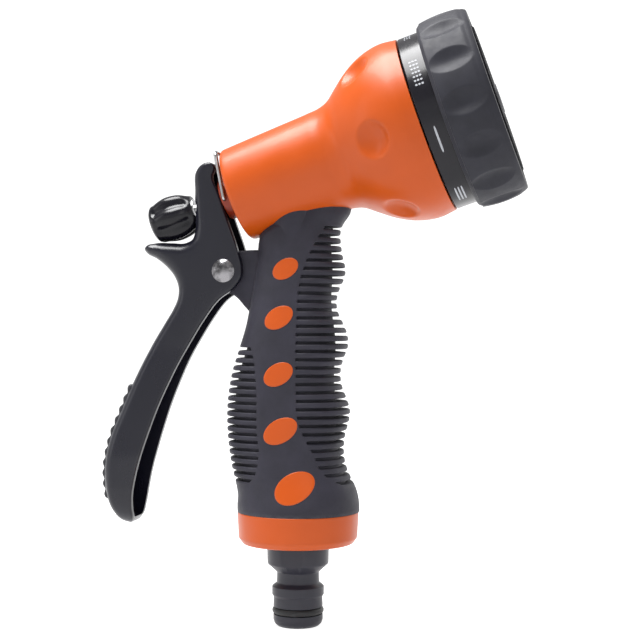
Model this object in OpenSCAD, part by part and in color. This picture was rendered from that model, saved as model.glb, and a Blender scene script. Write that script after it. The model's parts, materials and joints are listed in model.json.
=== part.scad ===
// Hose spray nozzle: pistol grip, rear trigger with a pull-stem valve,
// flow knob, hold-open wire and an eight-pattern dial.
// Millimetres, +Z up the handle, +X the way the water leaves, z = 0 at the
// mouth of the hose plug. Head parts are drawn along the tilted spray axis.

/* [Head] */
// Angle of the spray axis above horizontal
head_tilt = 19; // [10:0.5:30]
// Height where the spray axis crosses the handle axis
head_z = 141.6; // [120:0.1:160]
// Barrel radius at its rear face
barrel_r = 15; // [12:0.1:18]
// Place of the barrel's rear face on the spray axis
barrel_rear_s = -20.8; // [-26:0.1:-16]
// Largest radius of the bulb behind the dial
bulb_r = 28.2; // [24:0.1:32]
// Place of the bulb's front edge on the spray axis
bulb_front_s = 42.9; // [38:0.1:48]
// Wall of the bulb
shell_wall = 2.6; // [2:0.1:4]

/* [Dial] */
// Radius of the marked ring
ring_r = 27.4; // [24:0.1:30]
// Largest radius of the bezel
bezel_r = 30.2; // [28:0.1:34]
// Rear edge of the bezel on the spray axis
bezel_rear_s = 49.7; // [46:0.1:54]
// Front edge of the bezel on the spray axis
bezel_front_s = 65.7; // [60:0.1:70]
// Finger scallops round the bezel
scallops = 14; // [6:1:18]
// Turn of the first scallop
scallop_turn = 16.8; // [0:0.1:25]
// Spray patterns round the dial
patterns = 8; // [5:1:10]
// Radius of the circle the pattern ports stand on
port_ring_r = 14; // [10:0.5:18]

/* [Valve] */
// Stem radius
stem_r = 2; // [1.5:0.1:3]
// Place of the valve seat on the spray axis
seat_s = 8; // [4:0.5:12]
// Radius of the gland flange
gland_r = 6.6; // [5:0.1:8]
// Flow knob radius
knob_r = 7.5; // [6:0.1:8]

/* [Handle] */
// Radius of the handle's inner column
column_r = 7.2; // [6:0.1:9]
// Radius of the socket round the hose plug's thread
socket_r = 11.2; // [10.5:0.1:13]
// Radius of the water way
water_r = 4; // [3:0.1:4.3]
// Radius of the base ring
base_r = 19; // [16:0.1:22]
// Height of the base ring's upper edge
base_top = 35.7; // [30:0.1:40]
// Height of the base ring's lower face
base_low = 25.8; // [20:0.1:28]
// Thickness of one grip rib gap
groove_w = 1; // [0.6:0.1:1.6]

/* [Trigger] */
// Pivot, along the spray direction
pivot_x = -22.5; // [-30:0.1:-15]
// Pivot height
pivot_z = 110.85; // [100:0.05:120]
// Half width of the lever at its pivot
lever_hw = 6.4; // [5:0.1:8]
// Half width of the lever at its foot
lever_foot_hw = 10; // [7:0.1:12]
// Lever wall
lever_wall = 2.1; // [1.5:0.1:3]

/* [Hose plug] */
// Radius of the quick-connect rim
plug_r = 8.15; // [7.5:0.05:9]
// Radius of the plug's neck
plug_neck_r = 6.6; // [6:0.1:7.5]
// Radius of the plug's bore
plug_bore_r = 4.6; // [3.5:0.1:5.5]

/* [Hidden] */
fit = 0.05;
$fn = 96;
gland_rear_s = -24.9;
gland_inner_s = -8.5;
gland_thread_r = 6;
chamber_r = gland_thread_r + fit;
bulb_arc_r = 19;
bulb_arc_s = 37.5;
bulb_arc_y = bulb_r - bulb_arc_r;
neck_r = 16.4;
plate_s = 38.6;
plate_t = 2.6;
hub_r = 4;
hub_front_s = 46.9;
divider_s = 44.9;
divider_t = 1.7;
spray_s = 61.2;
wire_r = 0.65;
plug_top = base_low + 9;
socket_top = plug_top + 2.2;
hinge_s = -23.6;
hinge_r = -0.8;
bar_s = -21.6;
bar_r = 13.9;
leg_y = 7.3;
rivet_r = 2;
rivet_head_r = 3.6;
lug_hw = 4.2;
lever_seat_s = -33.2;

// Grip outline: height, rear, front, half thickness
grip = [
    [base_top + fit, -18.8, 19.3, 18.8],
    [44, -19.6, 17.4, 16.4],
    [55, -21.6, 14.6, 15],
    [66.5, -22.2, 16, 14.8],
    [80, -20.3, 13.6, 14.2],
    [87.5, -18.1, 15.5, 13.4],
    [104, -14.7, 12.8, 11.9],
    [130, -12.2, 15.6, 8.8]
];
front_ribs = 30;
front_rib_low = 46.2;
front_rib_pitch = 2.54;
rear_ribs = 18;
rear_rib_low = 46.4;
rear_rib_pitch = 2.37;

// Orange windows: x, height, long and short half axes, tilt
windows = [
    [2.2, 44.6, 6.4, 4.5, 30],
    [-2.5, 61.7, 5.7, 3.6, 30],
    [-3.3, 78.9, 4.9, 3.3, 30],
    [-3.5, 96.2, 4.9, 3.2, 30],
    [-1.8, 111.2, 4.4, 3, 30]
];

// ---- helpers -------------------------------------------------------------

// Puts its children on the spray axis: their +Z is the spray direction
module head() {
    translate([0, 0, head_z]) rotate([0, 90 - head_tilt, 0]) children();
}

// A ring or rod on the spray axis between two places
module on_axis(s0, s1, r) {
    head() translate([0, 0, s0]) cylinder(h = s1 - s0, r = r);
}

// A body of revolution about the spray axis, from points [radius, place]
module turned(points) {
    head() rotate_extrude() polygon(points);
}

module torus(ring, wire) {
    rotate_extrude() translate([ring, 0]) circle(r = wire, $fn = 32);
}

// One corner of a coil's round section
function coil_point(r, h, turns, wire, k, j, steps, sides) =
    let (a = 360 * turns * k / steps, b = 360 * j / sides)
    [(r + wire * cos(b)) * cos(a), (r + wire * cos(b)) * sin(a),
     wire + (h - 2 * wire) * k / steps + wire * sin(b)];

module coil(r, h, turns, wire) {
    sides = 6;
    steps = round(turns * 14);
    points = [for (k = [0:steps], j = [0:sides - 1])
              coil_point(r, h, turns, wire, k, j, steps, sides)];
    walls = [for (k = [0:steps - 1], j = [0:sides - 1])
             let (n = (j + 1) % sides)
             [k * sides + j, (k + 1) * sides + j, (k + 1) * sides + n, k * sides + n]];
    first = [for (j = [0:sides - 1]) j];
    last = [for (j = [sides - 1:-1:0]) steps * sides + j];
    polyhedron(points = points, faces = concat([first], walls, [last]), convexity = 6);
}

// A turn about the spray axis, repeated n times
module around(n, first = 0) {
    for (i = [0:n - 1]) rotate([0, 0, first + 360 * i / n]) children();
}

// A flat ellipse with its long axis raised by tilt, standing in the XZ plane
module ellipse_post(half_long, half_short, tilt, y0, y1) {
    points = [for (i = [0:23])
              let (a = 15 * i, u = half_long * cos(a), v = half_short * sin(a))
              [u * cos(tilt) - v * sin(tilt), u * sin(tilt) + v * cos(tilt)]];
    translate([0, y1, 0]) rotate([90, 0, 0]) linear_extrude(y1 - y0) polygon(points);
}

// ---- body ----------------------------------------------------------------

module bulb_profile(wall) {
    intersection() {
        translate([bulb_arc_y, bulb_arc_s]) circle(r = bulb_arc_r - wall);
        translate([0, 12]) square([40, bulb_front_s - 12]);
    }
}

module body_shell() {
    color("darkorange") difference() {
        union() {
            head() rotate_extrude() {
                polygon([[0, barrel_rear_s], [barrel_r - 1.2, barrel_rear_s],
                         [barrel_r, barrel_rear_s + 1.2], [neck_r, 14],
                         [neck_r + 1.6, 17], [neck_r + 4, 20.4], [neck_r + 4, 26], [0, 26]]);
                bulb_profile(0);
            }
            translate([0, 0, base_low + 4]) cylinder(h = head_z - base_low - 8, r = column_r);
            translate([0, 0, base_low + 4]) cylinder(h = socket_top - base_low - 2.4, r = socket_r);
            rotate_extrude() polygon([[0, base_low], [base_r - 2.2, base_low],
                                      [base_r - 0.8, base_low + 0.9], [base_r - 0.4, base_low + 2.2],
                                      [base_r, base_top], [0, base_top]]);
            body_lug();
            for (w = windows, side = [-1, 1]) {
                translate([w[0], 0, w[1]])
                    ellipse_post(w[2], w[3], w[4], side > 0 ? 2 : -lookup(w[1], half_y) + 0.1,
                                 side > 0 ? lookup(w[1], half_y) - 0.1 : -2);
            }
        }
        on_axis(barrel_rear_s - 1, seat_s, chamber_r);
        on_axis(seat_s - 1, 15, 3.6);
        head() rotate_extrude() {
            bulb_profile(shell_wall);
            translate([0, 14]) square([bulb_arc_y, bulb_arc_s - 14]);
            translate([0, plate_s - 0.4]) square([25, 10]);
        }
        translate([0, 0, base_low - 1]) cylinder(h = socket_top - base_low + 1, r = 9.35);
        cylinder(h = head_z, r = water_r);
        translate([pivot_x, 0, pivot_z]) rotate([90, 0, 0])
            cylinder(h = 40, r = rivet_r + fit, center = true);
        head() around(6, 36) translate([31.6, 0, 25.2]) sphere(r = 9);
    }
}

half_y = [for (g = grip) [g[0], g[3]]];
rear_x = [for (g = grip) [g[0], g[1]]];
front_x = [for (g = grip) [g[0], g[2]]];

// Plate that carries the trigger rivet
module body_lug() {
    translate([0, 2.6, 0]) rotate([90, 0, 0]) linear_extrude(5.2) {
        translate([pivot_x, pivot_z]) circle(r = 5);
        polygon([[pivot_x, pivot_z + 5], [pivot_x, pivot_z - 5], [-5, 98], [-5, pivot_z + 5]]);
    }
}

module grip_slab(g) {
    for (x = [g[1] + g[3], g[2] - g[3]])
        translate([x, 0, g[0]]) cylinder(h = 0.01, r = g[3], $fn = 32);
}

// Rib gaps: a thin slab with the rib floor left standing in it
module front_gap(z) {
    floor_r = lookup(z, [[46, 13], [60, 12.4], [80, 11.6], [120, 10.8]]);
    x0 = lookup(z, [[46, 11], [54, 4], [60, 1.4], [112, 1.4], [120, 5]]);
    difference() {
        translate([x0, -20, z]) cube([24, 40, groove_w]);
        translate([0, 0, z - 1]) cylinder(h = 3, r = floor_r);
    }
}

module rear_gap(z) {
    x = lookup(z, rear_x);
    difference() {
        translate([-30, -20, z]) cube([30 - 13.6, 40, groove_w]);
        translate([x + 15.4, 0, z - 1]) cylinder(h = 3, r = 13);
    }
}

module grip_sleeve() {
    color("#3c3942") difference() {
        union() {
            for (i = [0:len(grip) - 2]) hull() {
                grip_slab(grip[i]);
                grip_slab(grip[i + 1]);
            }
            translate([0, lug_hw, 0]) rotate([90, 0, 0]) linear_extrude(2 * lug_hw) {
                translate([pivot_x, pivot_z]) circle(r = 6.2);
                polygon([[pivot_x, pivot_z + 6.2], [pivot_x - 4, pivot_z - 4.7],
                         [pivot_x, pivot_z - 6.2], [-15, 98.6], [-10, 98.6], [-10, pivot_z + 6.2]]);
            }
        }
        for (i = [0:front_ribs - 1]) front_gap(front_rib_low + front_rib_pitch * i);
        for (i = [0:rear_ribs - 1]) rear_gap(rear_rib_low + rear_rib_pitch * i);
        cylinder(h = 160, r = column_r + fit);
        cylinder(h = socket_top + 1.6 + fit, r = socket_r + fit);
        on_axis(-40, 14, neck_r + fit);
        turned([[0, 13], [neck_r + fit, 13], [neck_r + 1.6 + fit, 17 - fit], [neck_r + 4 + fit, 20.4 - fit],
                [bulb_r, 26], [0, 26]]);
        translate([0, 2.6 + fit, 0]) rotate([90, 0, 0]) linear_extrude(5.2 + 2 * fit) {
            translate([pivot_x, pivot_z]) circle(r = 5 + fit);
            polygon([[pivot_x, pivot_z + 5 + fit], [pivot_x, pivot_z - 5 - fit],
                     [-5, 98 - fit], [-5, pivot_z + 5 + fit]]);
        }
        translate([pivot_x, 0, pivot_z]) rotate([90, 0, 0])
            cylinder(h = 20, r = rivet_r + fit, center = true);
        for (w = windows) translate([w[0], 0, w[1]])
            ellipse_post(w[2] + fit, w[3] + fit, w[4], -25, 25);
    }
}

module hose_tail() {
    color("#35343c") difference() {
        rotate_extrude() polygon([
            [plug_bore_r, 0], [plug_bore_r + 1.6, 0], [plug_bore_r + 2.7, 0.7], [7.75, 2],
            [7.75, 3.75], [5.85, 3.75], [5.85, 6.05], [7.75, 6.05], [7.75, 9.2],
            [plug_r, 9.9], [plug_r, 12.4], [plug_neck_r, 13.6], [plug_neck_r, 16.8],
            [9.75, 19.6], [9.75, base_low - 0.05], [9.3, base_low - 0.05], [9.3, plug_top], [plug_bore_r, plug_top]
        ]);
        for (side = [-1, 1]) translate([-12, side > 0 ? 9 : -12, 19]) cube([24, 3, base_low - 18.8]);
    }
}

module tail_o_ring() {
    color("#1c1c1f") translate([0, 0, 4.9]) torus(7, 1.1);
}

module tail_washer() {
    color("#1c1c1f") translate([0, 0, plug_top + 0.1]) difference() {
        cylinder(h = 2, r = 9.2);
        translate([0, 0, -1]) cylinder(h = 4, r = plug_bore_r + 0.8);
    }
}

module pivot_rivet() {
    color("silver") translate([pivot_x, 0, pivot_z]) rotate([90, 0, 0]) {
        cylinder(h = 2 * lever_hw + 1, r = rivet_r, center = true);
        for (side = [-1, 1]) intersection() {
            translate([0, 0, side * (lever_hw - 3.3)]) sphere(r = 4.95);
            translate([0, 0, side > 0 ? lever_hw + 0.05 : -lever_hw - 5.05]) cylinder(h = 5, r = rivet_head_r);
        }
    }
}

// ---- valve ---------------------------------------------------------------

module valve_gland() {
    color("orangered") difference() {
        union() {
            turned([[0, gland_rear_s], [gland_r - 0.5, gland_rear_s], [gland_r, gland_rear_s + 0.5],
                    [gland_r, barrel_rear_s - fit], [gland_thread_r, barrel_rear_s - fit],
                    [gland_thread_r, -11], [4.7, -11], [4.7, -9.6], [gland_thread_r, -9.6],
                    [gland_thread_r, gland_inner_s], [0, gland_inner_s]]);
        }
        on_axis(-30, 0, stem_r + 0.1);
        on_axis(-14.4, -13.1, 3.25);
        head() for (side = [-1, 1]) translate([-hinge_r, 0, hinge_s]) rotate([side * -90, 0, 0])
            translate([0, 0, 4.3]) cylinder(h = 4, r = wire_r + 0.1, $fn = 32);
    }
}

module gland_seal() {
    color("#1c1c1f") head() translate([0, 0, -10.3]) torus(5.36, 0.62);
}

module stem_seal() {
    color("#1c1c1f") head() translate([0, 0, -13.75]) torus(2.65, 0.55);
}

module valve_spring() {
    color("silver") head() translate([0, 0, gland_inner_s + fit]) coil(4, 13.9, 5.5, 0.45);
}

module valve_stem() {
    color("silver") {
        on_axis(-47.8, 9.8, stem_r);
        on_axis(5.5, 6.7, 5.2);
    }
}

module valve_seal() {
    color("#1c1c1f") head() translate([0, 0, 6.75]) difference() {
        cylinder(h = seat_s - 6.8, r = 5);
        translate([0, 0, -1]) cylinder(h = 4, r = stem_r + fit);
    }
}

module stem_nut() {
    color("goldenrod") head() translate([0, 0, seat_s]) difference() {
        cylinder(h = 1.6, r = 3.2, $fn = 6);
        translate([0, 0, -1]) cylinder(h = 4, r = stem_r + fit);
    }
}

module knob_washer() {
    color("silver") head() translate([0, 0, -35.55]) difference() {
        cylinder(h = 0.9, r = 3.8);
        translate([0, 0, -1]) cylinder(h = 3, r = stem_r + fit);
    }
}

module flow_knob() {
    color("#26252b") difference() {
        turned([[0, -49.6], [knob_r - 2.5, -49.6], [knob_r - 1.9, -49.1], [knob_r - 0.2, -44], [knob_r, -42.4],
                [knob_r - 0.3, -39.6], [knob_r - 0.9, -37.8], [knob_r - 1.8, -36.4], [knob_r - 2.6, -35.6], [0, -35.6]]);
        on_axis(-48.1, -30, stem_r + fit);
        head() around(6, 30) translate([knob_r + 2.3, 0, -53]) cylinder(h = 20, r = 3.2);
    }
}

// ---- trigger -------------------------------------------------------------

lever_outline = [
    [-31.7, 142.2], [-30.5, 143.8], [-28.5, 144.9], [-26.6, 144.8], [-25.4, 143.2],
    [-26.4, 140.8], [-17.9, 116.4], [-16.7, 112], [-16.9, 108.8], [-18.6, 106.2],
    [-24.4, 101.7], [-32.9, 89.4], [-36.5, 83.6], [-40.3, 75.7], [-45.8, 61.4],
    [-50.1, 47.8], [-51.6, 40], [-51.8, 34], [-53, 31.2], [-55.6, 31.6],
    [-58.8, 35.6], [-60.5, 41], [-61, 48], [-60, 55.4], [-56.8, 64.8],
    [-52.3, 76], [-46.7, 87.4], [-39.8, 98.6], [-38.1, 102], [-37.8, 105.4],
    [-39, 109], [-41.6, 112.4], [-48.2, 116.6], [-48.9, 117.8], [-47.8, 119.4],
    [-45.6, 119.8], [-35.4, 119.8], [-33, 121], [-32.3, 123], [-32.3, 134.5]
];

lever_hollow = [
    [-29.6, 142.2], [-20, 143.4], [-5, 120], [-5, 100], [-40, 34],
    [-54.6, 34], [-57.7, 40], [-58.4, 47], [-57.4, 54.6], [-54.2, 63.6],
    [-49.7, 75], [-44.2, 86.2], [-37.5, 97.4], [-35.6, 101], [-35.2, 106],
    [-36.6, 110.5], [-37.6, 113], [-35.8, 117], [-31.6, 118.2], [-29.9, 121], [-29.9, 134.5]
];

lever_widths = [
    [lever_hw, 150], [lever_hw, 86], [lever_foot_hw - 1.1, 65], [lever_foot_hw, 53], [lever_foot_hw, 45],
    [lever_foot_hw - 0.7, 40], [lever_foot_hw - 3, 35.6], [lever_wall + 0.5, 30]
];

// Half width of the lever at each height, seen along the spray direction
function lever_front(inset) = [
    for (side = [1, -1], p = side > 0 ? lever_widths : [for (i = [len(lever_widths) - 1:-1:0]) lever_widths[i]])
        [side * (p[0] - inset), p[1]]
];

// Slot that the stem slides in as the lever swings
module stem_slot(width) {
    head() {
        for (x = [0.1, -2.1]) translate([x, 0, -45]) cylinder(h = 18, r = width / 2, $fn = 48);
        translate([-2.1, -width / 2, -45]) cube([2.2, width, 18]);
    }
}

module trigger_lever() {
    color("#2d2b34") difference() {
        union() {
            difference() {
                intersection() {
                    translate([0, 15, 0]) rotate([90, 0, 0]) linear_extrude(30) polygon(lever_outline);
                    rotate([90, 0, 90]) translate([0, 0, -70]) linear_extrude(60) polygon(lever_front(0));
                }
                intersection() {
                    translate([0, 15, 0]) rotate([90, 0, 0]) linear_extrude(30) polygon(lever_hollow);
                    rotate([90, 0, 90]) translate([0, 0, -70]) linear_extrude(90) polygon(lever_front(lever_wall));
                }
            }
            intersection() {
                on_axis(lever_seat_s, -30.4, 5.6);
                translate([-45, -lever_hw + 1, 100]) cube([40, 2 * lever_hw - 2, 50]);
            }
        }
        on_axis(-45, lever_seat_s, 5.6);
        stem_slot(2 * stem_r + 0.5);
        translate([pivot_x, 0, pivot_z]) rotate([90, 0, 0])
            cylinder(h = 20, r = rivet_r + fit, center = true);
    }
    color("#2d2b34") head() for (side = [-1, 1]) intersection() {
        translate([0, side * 3.55, -33.4]) rotate([90, 0, 0]) cylinder(h = 2, r = 1.2, center = true, $fn = 48);
        translate([-3, -6, -34.6]) cube([6, 12, 34.7 + lever_seat_s]);
    }
}

pad_line = [[-52.7, 75.2], [-56.9, 64.6], [-60.1, 55.2], [-61.1, 48], [-60.6, 41], [-59.8, 38.4]];

// Strip on the back of the lever, with a row of ridges
module trigger_pad() {
    n = len(pad_line);
    back = [for (i = [n - 1:-1:0]) pad_line[i] + [-0.9, 0.1]];
    color("#222126") translate([0, 0, 0]) intersection() {
        union() {
            translate([0, 15, 0]) rotate([90, 0, 0]) linear_extrude(30)
                polygon(concat([for (p = pad_line) p + [-0.04, 0]], back));
            for (z = [40.4:3.4:74]) {
                x = lookup(z, [for (i = [n - 1:-1:0]) [pad_line[i][1], pad_line[i][0]]]);
                translate([x - 0.9, 0, z]) rotate([90, 0, 0]) cylinder(h = 30, r = 0.75, center = true, $fn = 24);
            }
        }
        rotate([90, 0, 90]) translate([0, 0, -70]) linear_extrude(60)
            polygon([[lever_hw - 0.4, 76], [0.4 - lever_hw, 76], [1.8 - lever_foot_hw, 50], [1.8 - lever_foot_hw, 38],
                     [lever_foot_hw - 1.8, 38], [lever_foot_hw - 1.8, 50]]);
    }
}

// ---- hold-open wire --------------------------------------------------------

module lock_wire() {
    bend = 1.6;
    foot_bend = 0.8;
    dir = [bar_s - hinge_s, bar_r - hinge_r];
    reach = norm(dir);
    lean = atan2(dir[0], dir[1]);
    color("silver") head() translate([-hinge_r, 0, hinge_s]) rotate([0, lean, 0]) {
        translate([-reach, 0, 0]) rotate([90, 0, 0])
            cylinder(h = 2 * (leg_y - bend), r = wire_r, center = true, $fn = 32);
        for (side = [-1, 1]) {
            translate([-foot_bend, side * leg_y, 0]) rotate([0, -90, 0])
                cylinder(h = reach - bend - foot_bend, r = wire_r, $fn = 32);
            translate([-reach + bend, side * (leg_y - bend), 0])
                rotate([0, 0, side > 0 ? 90 : 180]) rotate_extrude(angle = 90)
                    translate([bend, 0]) circle(r = wire_r, $fn = 32);
            translate([-foot_bend, side * (leg_y - foot_bend), 0])
                rotate([0, 0, side > 0 ? 0 : -90]) rotate_extrude(angle = 90)
                    translate([foot_bend, 0]) circle(r = wire_r, $fn = 32);
            translate([0, side * (leg_y - foot_bend), 0]) rotate([side * 90, 0, 0])
                cylinder(h = leg_y - foot_bend - 4.5, r = wire_r, $fn = 32);
        }
    }
}

// ---- dial ------------------------------------------------------------------

module port_plate() {
    color("#4a4a50") difference() {
        union() {
            on_axis(plate_s, plate_s + plate_t, 24.9);
            on_axis(plate_s - 6, hub_front_s, hub_r);
            head() translate([port_ring_r, 0, plate_s]) cylinder(h = 5.4, r = 6);
            head() rotate([0, 0, 150]) translate([20, 0, plate_s - 2]) cylinder(h = 7.2, r = 2.7);
        }
        on_axis(plate_s - 4, hub_front_s + 1, 1.6);
        head() translate([port_ring_r, 0, plate_s - 1]) cylinder(h = 10, r = 2.8);
        head() translate([port_ring_r, 0, plate_s + 2.2]) cylinder(h = 10, r = 4.6);
        head() rotate([0, 0, 150]) translate([20, 0, plate_s - 0.8]) cylinder(h = 9, r = 1.6);
    }
}

module selector_seal() {
    color("#1c1c1f") head() translate([port_ring_r, 0, 42.8]) difference() {
        cylinder(h = divider_s - fit - 42.8, r = 4.5);
        translate([0, 0, -1]) cylinder(h = 5, r = 2.8);
    }
}

module selector_spring() {
    color("silver") head() translate([port_ring_r, 0, plate_s + 2.25]) coil(3.7, 1.9, 2, 0.25);
}

module detent_ball() {
    color("silver") head() rotate([0, 0, 150]) translate([20, 0, divider_s - fit - 1.5]) sphere(r = 1.5);
}

module detent_spring() {
    color("silver") head() rotate([0, 0, 150]) translate([20, 0, plate_s - 0.75]) coil(1.1, 4, 4.5, 0.22);
}

module label_ring() {
    color("#201f24") turned([
        [24.6, 43.3], [ring_r - 0.3, 43.3], [ring_r, 43.6], [ring_r, bezel_rear_s],
        [26, bezel_rear_s], [26, bezel_front_s - 1], [24.6, bezel_front_s - 1]
    ]);
}

module dial_bezel() {
    mid_s = (bezel_rear_s + bezel_front_s) / 2;
    color("#46464c") difference() {
        head() rotate([0, 0, scallop_turn + 180 / scallops]) rotate_extrude() polygon([
            [26.05, bezel_rear_s + fit], [bezel_r - 2.2, bezel_rear_s + fit], [bezel_r - 1.5, bezel_rear_s + 0.6],
            [bezel_r - 0.3, mid_s - 3.5], [bezel_r, mid_s], [bezel_r - 0.3, mid_s + 3.5],
            [bezel_r - 1.2, bezel_front_s - 1.2], [bezel_r - 2.2, bezel_front_s], [24.8, bezel_front_s],
            [24.8, bezel_front_s - 0.95], [26.05, bezel_front_s - 0.95]
        ]);
        head() around(scallops, scallop_turn) translate([bezel_r + 4.4, 0, mid_s - 0.3])
            rotate([0, 8, 0]) rotate_extrude() translate([-11.5, 0]) intersection() {
                circle(r = 17);
                translate([11.5, -20]) square([10, 40]);
            }
    }
}

module divider() {
    color("#4a4a50") difference() {
        union() {
            on_axis(divider_s, divider_s + divider_t, 24.5);
            on_axis(divider_s, spray_s - 0.6, 7.6);
            head() around(patterns, 180 / patterns) translate([7, -0.6, divider_s + 1]) cube([17.2, 1.2, spray_s - divider_s - 1.6]);
        }
        on_axis(divider_s - 1, spray_s, hub_r + fit);
        on_axis(hub_front_s + 0.1, spray_s, 6.2);
        head() around(patterns) translate([port_ring_r, 0, divider_s - 1]) cylinder(h = 4, r = 2.6, $fn = 48);
        head() around(patterns, 150) translate([20, 0, divider_s - 1.1]) sphere(r = 1.6, $fn = 32);
    }
}

module screw_washer() {
    color("silver") head() translate([0, 0, hub_front_s + 0.15]) difference() {
        cylinder(h = 0.8, r = 5.9);
        translate([0, 0, -1]) cylinder(h = 4, r = 1.6);
    }
}

module centre_screw() {
    color("silver") head() difference() {
        union() {
            translate([0, 0, 36]) cylinder(h = 12, r = 1.55);
            translate([0, 0, hub_front_s + 1]) cylinder(h = 2.2, r = 3.2);
        }
        for (a = [0, 90]) rotate([0, 0, a]) translate([-1.8, -0.4, hub_front_s + 2]) cube([3.6, 0.8, 2]);
    }
}

// Rows of holes and slots of the eight spray patterns
module pattern_holes() {
    module hole(x, y, r) {
        translate([x, y, 0]) cylinder(h = 12, r = r, $fn = 24);
    }
    c = 15.4;
    rotate([0, 0, 0]) hole(c, 0, 2);
    rotate([0, 0, 45]) for (i = [0:2], j = [-1:1]) hole(11.5 + 3.6 * i, 3 * j, 0.55);
    rotate([0, 0, 90]) translate([c - 4, -0.6, 0]) cube([8, 1.2, 12]);
    rotate([0, 0, 135]) for (a = [0:60:300]) hole(c + 3 * cos(a), 3 * sin(a), 0.6);
    rotate([0, 0, 180]) for (a = [0:90:270]) hole(c + 1.8 * cos(a), 1.8 * sin(a), 0.9);
    rotate([0, 0, 225]) translate([c - 0.5, -4, 0]) cube([1, 8, 12]);
    rotate([0, 0, 270]) for (a = [0:45:315]) hole(c + 3.6 * cos(a), 3.6 * sin(a), 0.45);
    rotate([0, 0, 315]) for (j = [-1:1]) hole(c, 3.2 * j, 1);
}

module spray_plate() {
    color("#2a2a2f") difference() {
        turned([[0, spray_s], [24.55, spray_s], [24.55, 63.6], [23.6, 65.6], [22.8, 66.2], [0, 66.2]]);
        head() translate([0, 0, spray_s - 3]) pattern_holes();
        on_axis(spray_s - 1, 68, 5.2);
    }
}

module centre_cap() {
    color("#46464c") turned([[0, 62.4], [5.15, 62.4], [5.15, 66], [4.4, 66.7], [0, 66.8]]);
}

body_shell();
grip_sleeve();
hose_tail();
tail_o_ring();
tail_washer();
pivot_rivet();
valve_gland();
gland_seal();
stem_seal();
valve_spring();
valve_stem();
valve_seal();
stem_nut();
knob_washer();
flow_knob();
trigger_lever();
trigger_pad();
lock_wire();
port_plate();
selector_seal();
selector_spring();
detent_ball();
detent_spring();
label_ring();
dial_bezel();
divider();
screw_washer();
centre_screw();
spray_plate();
centre_cap();
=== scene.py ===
"""Hose spray nozzle: the looks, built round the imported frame. Shapes are worked out in millimetres."""
import json
import math

import bmesh
import bpy
import numpy as np
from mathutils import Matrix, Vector
from mathutils.geometry import delaunay_2d_cdt


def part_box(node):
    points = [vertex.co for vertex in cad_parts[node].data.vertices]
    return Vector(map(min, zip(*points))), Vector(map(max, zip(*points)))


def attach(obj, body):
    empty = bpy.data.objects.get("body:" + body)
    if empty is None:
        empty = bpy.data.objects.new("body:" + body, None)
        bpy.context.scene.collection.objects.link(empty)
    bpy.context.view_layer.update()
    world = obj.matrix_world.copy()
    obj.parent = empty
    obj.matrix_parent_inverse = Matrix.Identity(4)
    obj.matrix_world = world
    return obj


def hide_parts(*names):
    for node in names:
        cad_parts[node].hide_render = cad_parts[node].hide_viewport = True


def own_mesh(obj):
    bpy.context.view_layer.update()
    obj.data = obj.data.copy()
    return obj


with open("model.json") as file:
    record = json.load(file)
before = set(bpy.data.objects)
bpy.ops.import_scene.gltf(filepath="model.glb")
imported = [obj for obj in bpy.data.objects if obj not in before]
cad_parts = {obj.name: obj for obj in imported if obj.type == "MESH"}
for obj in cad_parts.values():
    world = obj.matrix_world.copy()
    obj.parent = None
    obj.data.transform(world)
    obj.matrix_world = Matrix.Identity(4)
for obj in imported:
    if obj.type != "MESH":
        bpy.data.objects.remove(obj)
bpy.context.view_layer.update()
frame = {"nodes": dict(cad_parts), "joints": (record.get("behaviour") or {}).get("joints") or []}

MM = 0.001
JOINTS = {joint["name"]: joint for joint in frame["joints"]}
DIAL = JOINTS["dial_turn"]
SPRAY = np.array(DIAL["axis"]) / np.linalg.norm(DIAL["axis"])
TILT = math.atan2(SPRAY[2], SPRAY[0])
HEAD_Z = (DIAL["pos_m"][2] - DIAL["pos_m"][0] * math.tan(TILT)) / MM
UP = np.array([-math.sin(TILT), 0, math.cos(TILT)])
PIVOT = np.array(JOINTS["trigger_squeeze"]["pos_m"]) / MM
HINGE = np.array(JOINTS["wire_swing"]["pos_m"]) / MM


# ---- places ---------------------------------------------------------------

def on_head(s, r, angle):
    """Point s along the spray axis and r from it; angle 0 is -Y and grows upwards."""
    s, r, angle = np.broadcast_arrays(*(np.asarray(v, float) for v in (s, r, angle)))
    across = -r * np.cos(angle)
    rise = r * np.sin(angle)
    points = s[..., None] * SPRAY + rise[..., None] * UP
    points[..., 1] += across
    points[..., 2] += HEAD_Z
    return points


def on_handle(s, r, angle):
    """Point at height s and r from the handle's axis."""
    s, r, angle = np.broadcast_arrays(*(np.asarray(v, float) for v in (s, r, angle)))
    return np.stack([r * np.sin(angle), -r * np.cos(angle), s], axis=-1)


# ---- curves ---------------------------------------------------------------

def spline(table, at):
    """Smooth curve through (key, value) pairs, read at the keys in `at`."""
    keys, values = np.array(sorted(table), float).T
    slope = np.gradient(values, keys)
    at = np.clip(np.asarray(at, float), keys[0], keys[-1])
    i = np.clip(np.searchsorted(keys, at, side="right") - 1, 0, len(keys) - 2)
    gap = keys[i + 1] - keys[i]
    t = (at - keys[i]) / gap
    return ((2 * t**3 - 3 * t**2 + 1) * values[i] + (t**3 - 2 * t**2 + t) * gap * slope[i]
            + (3 * t**2 - 2 * t**3) * values[i + 1] + (t**3 - t**2) * gap * slope[i + 1])


def step(edge0, edge1, x):
    """Smooth step from 0 at edge0 to 1 at edge1."""
    t = np.clip((np.asarray(x, float) - edge0) / (edge1 - edge0), 0, 1)
    return t * t * (3 - 2 * t)


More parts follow.
